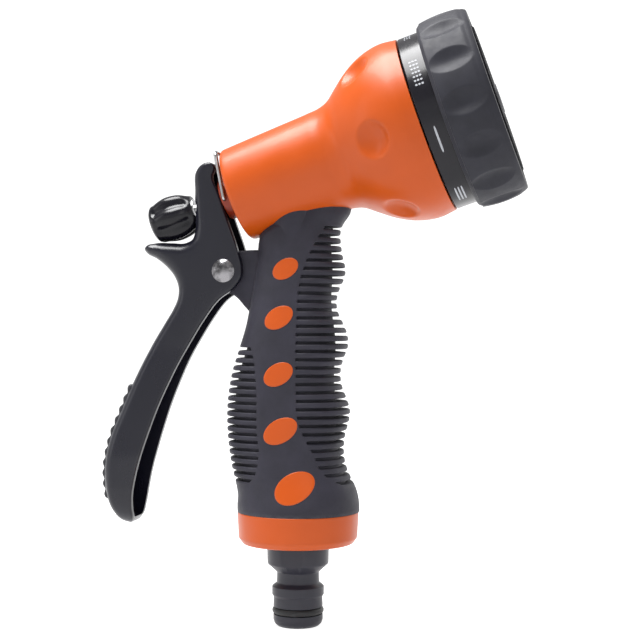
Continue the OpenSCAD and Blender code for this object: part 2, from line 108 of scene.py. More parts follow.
def rounded(points, steps=5):
    """Outline with corners cut to arcs. Each point is (a, b) or (a, b, corner radius)."""
    out = []
    n = len(points)
    for i, point in enumerate(points):
        here = np.array(point[:2], float)
        radius = point[2] if len(point) > 2 else 0
        if not radius:
            out.append(here)
            continue
        before = np.array(points[i - 1][:2], float) - here
        after = np.array(points[(i + 1) % n][:2], float) - here
        len_b, len_a = np.linalg.norm(before), np.linalg.norm(after)
        before, after = before / len_b, after / len_a
        half = math.acos(np.clip(before @ after, -1, 1)) / 2
        reach = min(radius / math.tan(half), 0.48 * len_b, 0.48 * len_a)
        for t in np.linspace(0, 1, steps + 1):
            out.append(here + before * reach * (1 - t)**2 + after * reach * t**2)
    return np.array(out)


def smooth_loop(points, spacing):
    """Closed curve through the points, resampled to even spacing."""
    pts = np.asarray(points, float)
    before, after, after2 = np.roll(pts, 1, 0), np.roll(pts, -1, 0), np.roll(pts, -2, 0)
    gap = np.linalg.norm(after - pts, axis=1)[:, None]
    gap_b, gap_a = np.roll(gap, 1, 0), np.roll(gap, -1, 0)
    slope = ((pts - before) / gap_b * gap + (after - pts) / gap * gap_b) / (gap_b + gap)
    slope_next = ((after - pts) / gap * gap_a + (after2 - after) / gap_a * gap) / (gap_a + gap)
    dense = []
    for t in np.linspace(0, 1, 24, endpoint=False):
        dense.append((2 * t**3 - 3 * t**2 + 1) * pts + (t**3 - 2 * t**2 + t) * gap * slope
                     + (3 * t**2 - 2 * t**3) * after + (t**3 - t**2) * gap * slope_next)
    dense = np.stack(dense, 1).reshape(-1, 2)
    closed = np.vstack([dense, dense[:1]])
    along = np.concatenate([[0], np.cumsum(np.linalg.norm(np.diff(closed, axis=0), axis=1))])
    count = int(round(along[-1] / spacing))
    at = np.linspace(0, along[-1], count, endpoint=False)
    return np.stack([np.interp(at, along, closed[:, k]) for k in (0, 1)], 1)


def edge_distance(points, outline):
    """Distance from each point to a closed outline."""
    a = outline
    ab = np.roll(outline, -1, 0) - a
    rel = np.asarray(points)[:, None, :] - a[None]
    t = np.clip((rel * ab).sum(-1) / (ab * ab).sum(-1), 0, 1)
    return np.linalg.norm(rel - t[..., None] * ab, axis=-1).min(1)


# ---- meshes ---------------------------------------------------------------

def mesh_object(name, verts, faces, material, body, node=None, sharp=38):
    """Makes a piece from millimetre vertices, marks its sharp edges and rides it on a body."""
    mesh = bpy.data.meshes.new(name)
    mesh.from_pydata((np.asarray(verts) * MM).tolist(), [], faces)
    finish_mesh(mesh, sharp)
    piece = bpy.data.objects.new(name, mesh)
    bpy.context.scene.collection.objects.link(piece)
    mesh.materials.append(material)
    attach(piece, body)
    if node:
        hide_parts(node)
    return piece


def finish_mesh(mesh, sharp):
    """Faces outwards, smooth shading, and sharp edges above the given angle in degrees."""
    bm = bmesh.new()
    bm.from_mesh(mesh)
    bmesh.ops.remove_doubles(bm, verts=bm.verts, dist=1e-6)
    bmesh.ops.recalc_face_normals(bm, faces=bm.faces)
    limit = math.radians(sharp)
    for edge in bm.edges:
        edge.smooth = len(edge.link_faces) != 2 or edge.calc_face_angle(0) < limit
    for face in bm.faces:
        face.smooth = True
    bm.to_mesh(mesh)
    bm.free()


def grid_faces(rows, cols, wrap_rows, wrap_cols):
    """Quads over a grid of vertices, closed round either way when asked."""
    faces = []
    for i in range(rows if wrap_rows else rows - 1):
        k = (i + 1) % rows
        for j in range(cols if wrap_cols else cols - 1):
            m = (j + 1) % cols
            faces.append((i * cols + j, i * cols + m, k * cols + m, k * cols + j))
    return faces


def lathe(name, profile, place, material, body, node=None, count=160, shape=None, sharp=38):
    """Solid of revolution from a closed outline of (place, radius); shape() may push radii about."""
    profile = np.asarray(profile, float)
    angle = np.linspace(0, 2 * math.pi, count, endpoint=False)
    s = np.repeat(profile[:, :1], count, 1)
    r = np.repeat(profile[:, 1:], count, 1)
    if shape:
        r = shape(s, r, np.broadcast_to(angle, r.shape))
    verts = place(s, np.maximum(r, 0), angle[None]).reshape(-1, 3)
    return mesh_object(name, verts, grid_faces(len(profile), count, True, True),
                       material, body, node, sharp)


def sweep(path, radius, sides=16):
    """Vertices and faces of a round bar along a path, with flat ends."""
    path = np.asarray(path, float)
    along = np.gradient(path, axis=0)
    along /= np.linalg.norm(along, axis=1)[:, None]
    side = np.cross(along[0], [0.3, 0.2, 1.0])
    verts = []
    for here, way in zip(path, along):
        side = side - way * (side @ way)
        side /= np.linalg.norm(side)
        other = np.cross(way, side)
        turn = np.linspace(0, 2 * math.pi, sides, endpoint=False)[:, None]
        verts.append(here + radius * (np.cos(turn) * side + np.sin(turn) * other))
    rows = len(path)
    faces = grid_faces(rows, sides, False, True)
    faces.append(tuple(range(sides))[::-1])
    faces.append(tuple((rows - 1) * sides + j for j in range(sides)))
    return np.concatenate(verts), faces


def pillow(outline, half_width, edge_round, crown=0.0):
    """A flat piece in the XZ plane with rounded rims: its thickness falls away near the outline.
    half_width and edge_round are functions of the points (x, z)."""
    inside = [outline]
    tangent = np.roll(outline, -1, 0) - np.roll(outline, 1, 0)
    tangent /= np.linalg.norm(tangent, axis=1)[:, None]
    area = np.sum(outline[:, 0] * np.roll(outline[:, 1], -1) - outline[:, 1] * np.roll(outline[:, 0], -1))
    inward = np.stack([-tangent[:, 1], tangent[:, 0]], 1) * (1 if area > 0 else -1)
    for depth in (0.12, 0.4, 0.85, 1.4, 2.0, 2.8, 3.8):
        ring = outline + inward * depth
        ring = ring[edge_distance(ring, outline) > 0.94 * depth]
        inside.append(ring[::1 if depth < 1 else 2])
    low, high = outline.min(0), outline.max(0)
    xs, zs = np.meshgrid(np.arange(low[0], high[0], 2.2), np.arange(low[1], high[1], 2.2))
    grid = np.stack([xs.ravel(), zs.ravel()], 1)
    grid = grid[edge_distance(grid, outline) > 4.6]
    inside.append(grid)
    points = np.concatenate(inside)
    ring_ids = list(range(len(outline)))
    found = delaunay_2d_cdt([Vector(p) for p in points], [], [ring_ids], 1, 1e-5)
    flat = np.array([tuple(v) for v in found[0]])
    triangles = [tuple(f) for f in found[2]]
    depth = edge_distance(flat, outline)
    width = half_width(flat[:, 0], flat[:, 1])
    radius = np.minimum(edge_round(flat[:, 0], flat[:, 1]), width)
    fall = radius - np.minimum(depth, radius)
    y = width - radius + np.sqrt(np.maximum(radius**2 - fall**2, 0)) + crown * (1 - np.exp(-depth / 3.0))
    n = len(flat)
    near = np.stack([flat[:, 0], -y, flat[:, 1]], 1)
    far = np.stack([flat[:, 0], y, flat[:, 1]], 1)
    faces = triangles + [(c + n, b + n, a + n) for a, b, c in triangles]
    count = {}
    for tri in triangles:
        for a, b in zip(tri, tri[1:] + tri[:1]):
            count[frozenset((a, b))] = count.get(frozenset((a, b)), 0) + 1
    for tri in triangles:
        for a, b in zip(tri, tri[1:] + tri[:1]):
            if count[frozenset((a, b))] == 1:
                faces.append((b, a, a + n, b + n))
    return np.concatenate([near, far]), faces


def cut(piece, verts, faces, sharp=38):
    """Takes a solid away from a piece."""
    mesh = bpy.data.meshes.new("cutter")
    mesh.from_pydata((np.asarray(verts) * MM).tolist(), [], faces)
    finish_mesh(mesh, sharp)
    cutter = bpy.data.objects.new("cutter", mesh)
    bpy.context.scene.collection.objects.link(cutter)
    modifier = piece.modifiers.new("cut", "BOOLEAN")
    modifier.operation = "DIFFERENCE"
    modifier.solver = "EXACT"
    modifier.object = cutter
    result = bpy.data.meshes.new_from_object(piece.evaluated_get(bpy.context.evaluated_depsgraph_get()))
    piece.modifiers.clear()
    piece.data = result
    finish_mesh(result, sharp)
    bpy.data.objects.remove(cutter)


def bar_along_head(outline, s0, s1):
    """A prism along the spray axis; the outline is (rise, across) about the axis."""
    rise, across = np.asarray(outline, float).T
    ends = []
    for s in (s0, s1):
        points = s * SPRAY + rise[:, None] * UP
        points[:, 1] += across
        points[:, 2] += HEAD_Z
        ends.append(points)
    n = len(outline)
    faces = [(j, (j + 1) % n, n + (j + 1) % n, n + j) for j in range(n)]
    faces += [tuple(range(n))[::-1], tuple(range(n, 2 * n))]
    return np.concatenate(ends), faces


def circle(radius, count=48, centre=(0, 0), stretch=0):
    """Outline points of a circle, or of a slot when stretched upwards."""
    turn = np.linspace(0, 2 * math.pi, count, endpoint=False)
    u = centre[0] + radius * np.sin(turn) + stretch * (np.sin(turn) > 0)
    return np.stack([u, centre[1] + radius * np.cos(turn)], 1)


# ---- materials --------------------------------------------------------------

class Look:
    """A small builder of node materials."""

    def __init__(self, name):
        self.material = bpy.data.materials.new(name)
        self.material.use_nodes = True
        self.tree = self.material.node_tree
        self.shader = self.tree.nodes["Principled BSDF"]
        self.coords = self.tree.nodes.new("ShaderNodeTexCoord")

    def node(self, kind, **inputs):
        """A new shader node with its named inputs set."""
        made = self.tree.nodes.new(kind)
        for key, value in inputs.items():
            made.inputs[key.replace("_", " ")].default_value = value
        return made

    def link(self, a, b):
        self.tree.links.new(a, b)

    def noise(self, scale, detail=3.0, roughness=0.55, stretch=None):
        """Noise over the object's own coordinates; scale is in cycles per metre."""
        made = self.node("ShaderNodeTexNoise", Scale=scale, Detail=detail, Roughness=roughness)
        source = self.coords.outputs["Object"]
        if stretch:
            mapping = self.node("ShaderNodeMapping")
            mapping.inputs["Scale"].default_value = stretch
            self.link(source, mapping.inputs["Vector"])
            source = mapping.outputs["Vector"]
        self.link(source, made.inputs["Vector"])
        return made.outputs["Fac"]

    def spread(self, source, low, high, out_low, out_high):
        """Maps low..high to out_low..out_high, and holds beyond."""
        made = self.node("ShaderNodeMapRange")
        made.inputs["From Min"].default_value = low
        made.inputs["From Max"].default_value = high
        made.inputs["To Min"].default_value = out_low
        made.inputs["To Max"].default_value = out_high
        self.link(source, made.inputs["Value"])
        return made.outputs["Result"]

    def mix(self, factor, first, second):
        """A colour between first and second; each is a colour or a node's output."""
        made = self.tree.nodes.new("ShaderNodeMix")
        made.data_type = "RGBA"
        colours = [s for s in made.inputs if s.type == "RGBA"]
        for value, socket in ((first, colours[0]), (second, colours[1])):
            if isinstance(value, (tuple, list)):
                socket.default_value = (*value, 1)
            else:
                self.link(value, socket)
        self.link(factor, made.inputs[0])
        return [s for s in made.outputs if s.type == "RGBA"][0]

    def edges(self, low=0.51, high=0.58):
        """Bright on convex edges, where handling wears the surface."""
        geometry = self.tree.nodes.new("ShaderNodeNewGeometry")
        return self.spread(geometry.outputs["Pointiness"], low, high, 0, 1)

    def bump(self, height, strength, distance_mm, below=None):
        """A bumped normal from a height, on top of another when given."""
        made = self.node("ShaderNodeBump", Strength=strength, Distance=distance_mm * MM)
        self.link(height, made.inputs["Height"])
        if below:
            self.link(below, made.inputs["Normal"])
        return made.outputs["Normal"]


def plastic(name, colour, rough, worn, coat=0.0, grain=0.35, wear=0.35, waves=0.06, shine=0.3):
    """Moulded plastic: faint flow clouding, fine spark texture, handling marks and softer edges."""
    look = Look(name)
    cloud = look.spread(look.noise(70, 2.0), 0.3, 0.7, 0, 1)
    darker = tuple(0.955 * c for c in colour)
    lighter = tuple(min(1, 1.035 * c) for c in colour)
    base = look.mix(cloud, darker, lighter)
    rub = look.tree.nodes.new("ShaderNodeMath")
    rub.operation = "MULTIPLY"
    look.link(look.edges(), rub.inputs[0])
    look.link(look.spread(look.noise(420, 4.0), 0.42, 0.62, 0, wear), rub.inputs[1])
    base = look.mix(rub.outputs[0], base, worn)
    look.link(base, look.shader.inputs["Base Color"])
    smear = look.spread(look.noise(160, 3.0, 0.5, (1, 1, 0.35)), 0.35, 0.7, rough * 0.92, rough * 1.12)
    look.link(smear, look.shader.inputs["Roughness"])
    fine = look.bump(look.noise(5200, 2.0), grain, 0.012)
    wavy = look.bump(look.noise(110, 1.5), 0.3, waves, fine)
    look.link(wavy, look.shader.inputs["Normal"])
    look.shader.inputs["Coat Weight"].default_value = coat
    look.shader.inputs["Coat Roughness"].default_value = 0.08
    look.shader.inputs["Specular IOR Level"].default_value = shine
    return look.material


def rubber(name, colour, rough, dusty, grain=0.8, wear=0.55, shine=0.26):
    """Soft moulded rubber: spark-eroded grain, dry sheen, a little dust where it is handled."""
    look = Look(name)
    cloud = look.spread(look.noise(140, 4.0), 0.3, 0.7, 0, 1)
    base = look.mix(cloud, tuple(0.8 * c for c in colour), tuple(1.2 * c for c in colour))
    rub = look.tree.nodes.new("ShaderNodeMath")
    rub.operation = "MULTIPLY"
    look.link(look.edges(0.53, 0.6), rub.inputs[0])
    look.link(look.spread(look.noise(600, 4.0), 0.4, 0.65, 0.18 * wear, wear), rub.inputs[1])
    base = look.mix(rub.outputs[0], base, dusty)
    look.link(base, look.shader.inputs["Base Color"])
    look.link(look.spread(look.noise(260, 4.0), 0.3, 0.7, rough * 0.88, min(1, rough * 1.12)),
              look.shader.inputs["Roughness"])
    fine = look.bump(look.noise(3600, 3.0), grain, 0.03)
    look.link(look.bump(look.noise(300, 2.0), 0.25, 0.08, fine), look.shader.inputs["Normal"])
    look.shader.inputs["Sheen Weight"].default_value = 0.03
    look.shader.inputs["Sheen Roughness"].default_value = 0.5
    look.shader.inputs["Specular IOR Level"].default_value = shine
    return look.material


def metal(name, colour, rough, streak=(1, 1, 1), dull=0.75, patch=700):
    """Bare or plated metal: light streaks, patches of tarnish and fine scratches."""
    look = Look(name)
    tarnish = look.spread(look.noise(patch, 5.0), 0.45, 0.62, 0, 1)
    look.link(look.mix(tarnish, colour, tuple(dull * c for c in colour)), look.shader.inputs["Base Color"])
    look.link(look.spread(look.noise(900, 3.0, 0.5, streak), 0.3, 0.7, rough * 0.7, rough * 1.5),
              look.shader.inputs["Roughness"])
    look.link(look.bump(look.noise(2600, 3.0, 0.5, streak), 0.25, 0.01), look.shader.inputs["Normal"])
    look.shader.inputs["Metallic"].default_value = 1.0
    return look.material


ORANGE = plastic("orange_shell", (0.355, 0.05, 0.0005), 0.38, (0.66, 0.2, 0.04), coat=0.04, grain=0.12,
                 wear=0.1, shine=0.24)
GLAND = plastic("gland_red", (0.165, 0.016, 0.004), 0.36, (0.8, 0.25, 0.12), coat=0.05, grain=0.12, wear=0.2,
                shine=0.25)
GRIP = rubber("grip_rubber", (0.0135, 0.0125, 0.0205), 0.6, (0.05, 0.05, 0.056))
LEVER = plastic("lever_black", (0.004, 0.004, 0.0085), 0.29, (0.05, 0.05, 0.056), coat=0.03, grain=0.15,
                wear=0.1)
KNOB = plastic("knob_black", (0.003, 0.0028, 0.005), 0.24, (0.05, 0.05, 0.055), coat=0.05, grain=0.08,
               wear=0.05, shine=0.22)
RING = plastic("ring_black", (0.005, 0.0045, 0.007), 0.24, (0.05, 0.05, 0.055), coat=0.04, grain=0.08, wear=0,
               shine=0.22)
PLUG = plastic("plug_black", (0.0155, 0.015, 0.0225), 0.4, (0.05, 0.05, 0.056), grain=0.3)
BEZEL = rubber("bezel_rubber", (0.0145, 0.0145, 0.02), 0.56, (0.05, 0.05, 0.055), wear=0.06, shine=0.2)
PAD = rubber("pad_rubber", (0.008, 0.008, 0.011), 0.45, (0.05, 0.05, 0.056))
FACE = plastic("face_black", (0.004, 0.004, 0.0055), 0.6, (0.05, 0.05, 0.055), grain=0.4, wear=0.05,
               shine=0.03)
CAP = plastic("cap_grey", (0.06, 0.06, 0.066), 0.42, (0.16, 0.16, 0.17), grain=0.4)
INNER = plastic("inner_grey", (0.07, 0.07, 0.078), 0.45, (0.16, 0.16, 0.17), grain=0.4)
PRINT = plastic("pale_print", (0.29, 0.3, 0.325), 0.5, (0.3, 0.3, 0.32), grain=0.2)
# The nickel's base colour is painted dark. This painted reflection stands for a dark room mirrored in the
# rivet domes, and is not the metal's own tone.
NICKEL_PAINTED_REFLECTION = metal("nickel_painted_dark_reflection", (0.21, 0.205, 0.215), 0.2, dull=0.35, patch=330)
WIRE = metal("steel_wire", (0.36, 0.35, 0.35), 0.2, (1, 1, 0.15))
STEEL = metal("turned_steel", (0.6, 0.6, 0.61), 0.28)
BRASS = metal("brass", (0.74, 0.52, 0.22), 0.25)
SEAL = rubber("seal_black", (0.012, 0.012, 0.013), 0.45, (0.06, 0.06, 0.06), grain=0.3)


# ---- head -------------------------------------------------------------------

BARREL_REAR = -20.8
BARREL_OUTLINE = [(-19.8, 14.9), (-12, 15.25), (0, 15.75), (9, 16.15), (13.2, 16.5), (16.4, 17.6),
                  (19.8, 20.2), (23.6, 23.1), (28, 25.7), (33, 27.5), (37.6, 28.15), (42.9, 27.55)]
DIMPLES = 6
DIMPLE_TURN = math.radians(-6)
DIMPLE_AT = (25.2, 31.6)
DIMPLE_BALL = 9.0


def soft_min(a, b, k):
    """The smaller of a and b, blended over a width of k."""
    h = np.clip(0.5 + 0.5 * (b - a) / k, 0, 1)
    return b * (1 - h) + a * h - k * h * (1 - h)


def dimpled(s, r, angle):
    """Presses a ball into the bulb at each dimple."""
    for i in range(DIMPLES):
        off = angle - DIMPLE_TURN - 2 * math.pi * i / DIMPLES
        reach = DIMPLE_AT[1] * np.cos(off)
        room = reach**2 - DIMPLE_AT[1]**2 - (s - DIMPLE_AT[0])**2 + DIMPLE_BALL**2
        floor = np.where((room > 0) & (reach > 0), reach - np.sqrt(np.maximum(room, 0)), r + 5)
        r = np.where(r > 15, soft_min(r, floor, 0.6), r)
    return r


def build_head_shell():
    """The orange barrel and bulb, hollow, with dimples pressed into the bulb."""
    steps = np.arange(-19.8, 42.85, 0.42)
    outer = np.stack([steps, spline(BARREL_OUTLINE, steps)], 1)
    rear = rounded([(BARREL_REAR, 6.1), (BARREL_REAR, 14.85, 1.5), (-17.4, 15.0)], 6)[:-1]
    inner = [(42.9, 27.2), (42.7, 24.98), (38.6, 24.9), (36, 24.6), (28, 19), (22, 13), (14, 6.1)]
    profile = np.concatenate([rear, outer[3:], inner])
    lathe("head_shell", profile, on_head, ORANGE, "body", "body_shell",
          count=288, shape=dimpled)


def build_gland():
    """The red-orange gland screwed into the barrel's rear."""
    rear, shoulder, inner = -24.9, -20.85, -9
    bore, thread, flange = 2.1, 6.0, 6.6
    profile = rounded([(rear, bore), (rear, flange, 0.7), (shoulder, flange, 0.15), (shoulder, thread),
                       (inner, thread), (inner, bore)])
    lathe("gland", profile, on_head, GLAND, "body", "valve_gland", count=96)


def build_lock_wire():
    """The bent wire, from one hole in the gland round to the other."""
    radius = 0.65
    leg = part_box("lock_wire")[1][1] / MM - radius
    top_s, top_r = -21.6, 13.9
    root = HINGE
    tip = on_head(top_s, top_r, math.pi / 2)
    way = (tip - root) * [1, 0, 1]
    reach = np.linalg.norm(way)
    way /= reach
    bend, foot = 1.6, 0.8
    half = [(4.6, 0), (leg - foot, 0)]
    turn = np.linspace(0, math.pi / 2, 9)[1:]
    half += [(leg - foot + foot * math.sin(t), foot - foot * math.cos(t)) for t in turn]
    half += [(leg, reach * k) for k in (0.3, 0.5, 0.7)]
    half += [(leg, reach - bend)]
    half += [(leg - bend + bend * math.cos(t), reach - bend + bend * math.sin(t)) for t in turn]
    half += [(y, reach) for y in (leg - bend - 1.6, 2, 0.6)]
    path = [root + [0, -y, 0] + way * up for y, up in half]
    path += [root + [0, y, 0] + way * up for y, up in reversed(half)]
    verts, faces = sweep(path, radius, 20)
    mesh_object("lock_wire_bail", verts, faces, WIRE, "lock", "lock_wire")


# ---- grip -------------------------------------------------------------------

GRIP_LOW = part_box("grip_sleeve")[0][2] / MM
BASE_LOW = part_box("body_shell")[0][2] / MM
REAR = [(34.7, -18.9), (37.5, -19.0), (41, -18.8), (44, -19.3), (49.6, -20.7), (55, -21.6), (60, -22.1),
        (66.5, -22.3), (73.4, -21.7), (80, -20.4), (87.3, -18.1), (94, -16.1), (100, -14.9), (108, -13.6),
        (116, -12.6), (124, -12.2), (132, -12.2)]
FRONT = [(34.7, 19.3), (39, 19.1), (43, 18.1), (46.5, 16.4), (50, 15.0), (55, 14.3), (60, 14.8), (64, 15.9),
         (67.5, 16.2), (71, 15.1), (75, 13.6), (79, 13.2), (83, 14.0), (87, 15.5), (90.5, 15.5), (94.5, 14.0),
         (98, 12.4), (101.5, 12.0), (105, 12.9), (109, 14.6), (111.5, 14.9), (114, 14.3), (119, 13.5),
         (123, 13.4), (125.5, 14.2), (129.3, 16.4), (132, 17)]
THICK = [(34.7, 18.9), (38, 18.6), (42, 17.4), (46, 16.3), (52, 15.4), (60, 14.9), (70, 14.6), (80, 14.0),
         (90, 13.3), (100, 12.3), (112, 10.8), (122, 9.5), (132, 8.4)]
SQUARE = [(34.7, 2.0), (44, 2.15), (60, 2.3), (132, 2.3)]
FRONT_FLOOR = [(40, 16.2), (46, 14.6), (56, 12.4), (66, 12.2), (76, 11.2), (88, 11.7), (101, 10.4),
               (112, 10.8), (121, 10.2), (132, 10.4)]
FRONT_EDGE = [(43, 18), (44.5, 16.4), (46, 13.4), (48.6, 10.3), (54, 7.6), (58, 5.6), (62, 3.7),
              (66, 2.6), (72, 2.2), (97, 2.1), (105, 2.4), (113, 4.4), (119, 7.0), (124, 9.8)]
REAR_EDGE = [(43, -16.5), (44.9, -13.8), (46.8, -11.3), (50, -9.9), (53.3, -9.3), (61, -9.9), (76, -10.4),
             (83.3, -11.4), (87.4, -13.1), (90, -15.6)]
FRONT_RIBS = (45.4, 2.535, 32)
REAR_RIBS = (46.2, 2.37, 18)
RIB_GAP = 0.46
RIB_EDGE = 0.5


def grip_section(z):
    """Centre, half length, half thickness and squareness of the grip at a height."""
    front, rear = spline(FRONT, z), spline(REAR, z)
    return (front + rear) / 2, (front - rear) / 2, spline(THICK, z), spline(SQUARE, z)


def super_radius(angle, a, b, power):
    """Distance from the centre to a squared-off ellipse, at an angle from +X."""
    return (np.abs(np.cos(angle) / a)**power + np.abs(np.sin(angle) / b)**power)**(-1 / power)


def grip_side(x, z):
    """How far out the grip's side stands at (x, z)."""
    centre, a, b, power = grip_section(z)
    return b * np.maximum(1 - np.abs((x - centre) / a)**power, 0)**(1 / power)


def barrel_floor(x, y):
    """Height of the barrel's underside over a point of the handle."""
    radius = 15.75 + 0.04 * x
    return HEAD_Z + (x * math.sin(TILT) - np.sqrt(np.maximum(radius**2 - y**2, 0))) / math.cos(TILT)


def rib_cut(z, ribs, depth):
    """How far the surface stands back: the full depth in a gap, a rounded edge beside it."""
    first, pitch, count = ribs
    place = (z - first) / pitch
    off = np.abs(place - np.clip(np.round(place), 0, count - 1)) * pitch
    t = np.clip((off - RIB_GAP) / RIB_EDGE, 0, 1)
    edge = RIB_EDGE * (1 - np.sqrt(1 - (1 - t)**2))
    return np.where(off < RIB_GAP - 0.01, depth, np.minimum(edge, depth))


def grip_levels():
    """Heights of the grip's rows: even, with extra rows on the edges of every gap between ribs."""
    levels = [np.arange(GRIP_LOW, 132, 1.2)]
    edge = RIB_GAP + RIB_EDGE * np.array([-0.12, 0.0, 0.15, 0.4, 1.0])
    for first, pitch, count in (FRONT_RIBS, REAR_RIBS):
        gaps = first + pitch * np.arange(count)
        levels += [gaps, *(gaps + e for e in edge), *(gaps - e for e in edge)]
    levels = np.unique(np.round(np.concatenate(levels), 3))
    return levels[np.insert(np.diff(levels) > 0.045, 0, True)]


def build_grip():
    """The soft sleeve with its ribs, from the base ring up to the barrel's underside."""
    levels = grip_levels()
    count = 232
    angle = np.linspace(0, 2 * math.pi, count, endpoint=False)[None]
    z = levels[:, None]
    centre, a, b, power = grip_section(z)
    radius = super_radius(angle, a, b, power)
    x = centre + radius * np.cos(angle)
    y = radius * np.sin(angle)
    # the rib floor is a slimmer form inside the grip
    floor_a = np.maximum(spline(FRONT_FLOOR, z) - centre, 6)
    floor_front = super_radius(angle, floor_a, b - 1.5, 2.2)
    floor_rear = super_radius(angle, a - 2.3, b - 1.3, 2.2)
    in_front = step(0, 0.5, x - spline(FRONT_EDGE, z)) * step(44.4, 44.9, z) * step(124.6, 124.4, z)
    in_rear = step(0, 0.5, spline(REAR_EDGE, z) - x) * step(45.2, 45.6, z) * step(87.4, 87.0, z)
    radius = (radius - in_front * rib_cut(z, FRONT_RIBS, np.maximum(radius - floor_front, 0.5))
              - in_rear * rib_cut(z, REAR_RIBS, np.maximum(radius - floor_rear, 0.5)))
    x = centre + radius * np.cos(angle)
    y = radius * np.sin(angle)
    # the top rows climb or drop to meet the barrel
    top = barrel_floor(x[-1:], y[-1:]) + 0.5
    start = np.minimum(124.7, top - 3)
    high = np.where(z > start, start + (z - start) * (top - start) / (levels[-1] - start), z)
    outer = np.stack([x, y, np.broadcast_to(high, x.shape)], -1)
    inner_r = 9.6
    inner_x = inner_r * np.cos(angle)
    inner_y = inner_r * np.sin(angle)
    top_in = barrel_floor(inner_x, inner_y) + 0.5
    rows = [outer.reshape(-1, 3), np.stack([inner_x, inner_y, top_in], -1).reshape(-1, 3),
            np.stack([inner_x, inner_y, np.full_like(inner_x, GRIP_LOW)], -1).reshape(-1, 3)]
    verts = np.concatenate(rows)
    mesh_object("grip_sleeve_ribbed", verts, grid_faces(len(levels) + 2, count, True, True),
                GRIP, "body", "grip_sleeve", sharp=50)


def build_base_ring():
    """The orange ring below the grip."""
    low, top = BASE_LOW, GRIP_LOW - 0.05
    corners = [(top, 9.6), (top, 19.0, 0.25), (low + 1.9, 18.6, 1.8), (low, 17.2, 1.2), (low, 9.4)]
    profile = rounded(corners, 8)
    lathe("base_ring", profile, on_handle, ORANGE, "body", count=160)


# Orange windows in the grip: x, height, long and short half axes
WINDOWS = [(2.2, 44.6, 6.4, 4.5), (-2.5, 61.7, 5.7, 3.6), (-3.3, 78.9, 4.9, 3.3),
           (-3.5, 96.2, 4.9, 3.2), (-1.8, 111.2, 4.4, 3.0)]
WINDOW_TILT = math.radians(30)


def build_windows():
    """Oval inlays that follow the grip's side, a hair proud with a rolled rim."""
    rings = [0, 0.25, 0.5, 0.72, 0.86, 0.93, 0.97, 0.992, 1.0, 1.0]
    lift = [0.22, 0.22, 0.21, 0.2, 0.19, 0.17, 0.13, 0.05, -0.1, -1.6]
    count = 64
    turn = np.linspace(0, 2 * math.pi, count, endpoint=False)
    for number, (cx, cz, half_long, half_short) in enumerate(WINDOWS):
        for side in (-1, 1):
            verts = []
            for ring, up in zip(rings, lift):
                u, v = ring * half_long * np.cos(turn), ring * half_short * np.sin(turn)
                x = cx + u * math.cos(WINDOW_TILT) - v * math.sin(WINDOW_TILT)
                z = cz + u * math.sin(WINDOW_TILT) + v * math.cos(WINDOW_TILT)
                verts.append(np.stack([x, side * (grip_side(x, z) + up), z], 1))
            faces = grid_faces(len(rings), count, False, True)
            faces.append(tuple((len(rings) - 1) * count + j for j in range(count)))
            name = f"window_{number + 1}_{'near' if side < 0 else 'far'}"
            mesh_object(name, np.concatenate(verts), faces, ORANGE, "body")


def build_lug():
    """The grip's cheek that carries the trigger rivet."""
    radius = 6.2
    turn = np.radians(np.arange(100, 256, 12))
    arc = [(PIVOT[0] + radius * math.cos(t), PIVOT[2] + radius * math.sin(t)) for t in turn]
    outline = [(-19, 117.2), (-12, 117.4), (-8, 117.4), (-8, 104), (-10, 98), (-13, 96.6), (-15.6, 99.0),
               (-19.4, 103.0)]
    loop = smooth_loop(arc + outline[::-1], 0.8)
    verts, faces = pillow(loop, lambda x, z: np.full_like(x, 4.2), lambda x, z: np.full_like(x, 0.7))
    mesh_object("trigger_lug", verts, faces, GRIP, "body", sharp=60)


# ---- trigger ----------------------------------------------------------------

LEVER_OUTLINE = [
    (-31.7, 142.3), (-30.4, 143.9), (-28.5, 144.8), (-26.6, 144.7), (-25.5, 143.2), (-26.2, 140.4),
    (-24.4, 135.4), (-21.4, 127.0), (-17.9, 116.8), (-16.8, 112.4), (-16.9, 108.9), (-18.8, 106.0),
    (-24.4, 101.6), (-29.0, 95.6), (-32.9, 89.4), (-36.6, 83.0), (-40.3, 75.4), (-43.4, 68.2),
    (-46.0, 61.0), (-48.3, 54.0), (-50.1, 47.6), (-51.4, 41.0), (-51.9, 36.0), (-52.2, 33.0),
    (-53.4, 31.2), (-55.8, 31.6), (-58.8, 35.4), (-60.5, 41.0), (-61.0, 48.0), (-60.0, 55.4),
    (-58.5, 60.6), (-56.7, 65.0), (-52.3, 75.8), (-46.7, 87.2), (-42.0, 94.9), (-39.6, 98.8),
    (-38.1, 102.2), (-37.8, 105.6), (-39.0, 109.0), (-41.6, 112.2), (-45.0, 114.9), (-48.2, 116.7),
    (-49.0, 118.0), (-48.0, 119.4), (-45.4, 119.9), (-40.0, 119.8), (-35.6, 119.8), (-33.2, 121.0),
    (-32.4, 123.4), (-32.4, 129.0), (-32.3, 136.0)]
LEVER_HOLLOW = [
    (-29.0, 141.6), (-24.0, 142.0), (-10.0, 138.0), (-5.0, 120.0), (-5.0, 100.0), (-24.0, 66.0),
    (-40.0, 33.4), (-48.0, 33.2), (-54.4, 33.5), (-57.0, 36.8), (-58.2, 41.6), (-58.6, 47.6),
    (-57.6, 54.8), (-54.2, 64.0), (-49.8, 74.8), (-44.2, 86.0), (-40.0, 93.2), (-37.3, 97.6),
    (-35.8, 101.4), (-35.4, 105.6), (-36.4, 109.4), (-38.4, 112.6), (-37.6, 116.2), (-33.6, 117.0),
    (-30.0, 118.4), (-29.0, 121.4), (-29.0, 134.0)]


def lever_half_width(x, z):
    toe = 10.0 * np.sqrt(1 - np.clip((43 - z) / 12.6, 0, 0.97)**2)
    return np.minimum(toe, np.interp(z, [31, 53, 65, 86, 150], [10.0, 10.0, 8.9, 6.4, 6.4]))


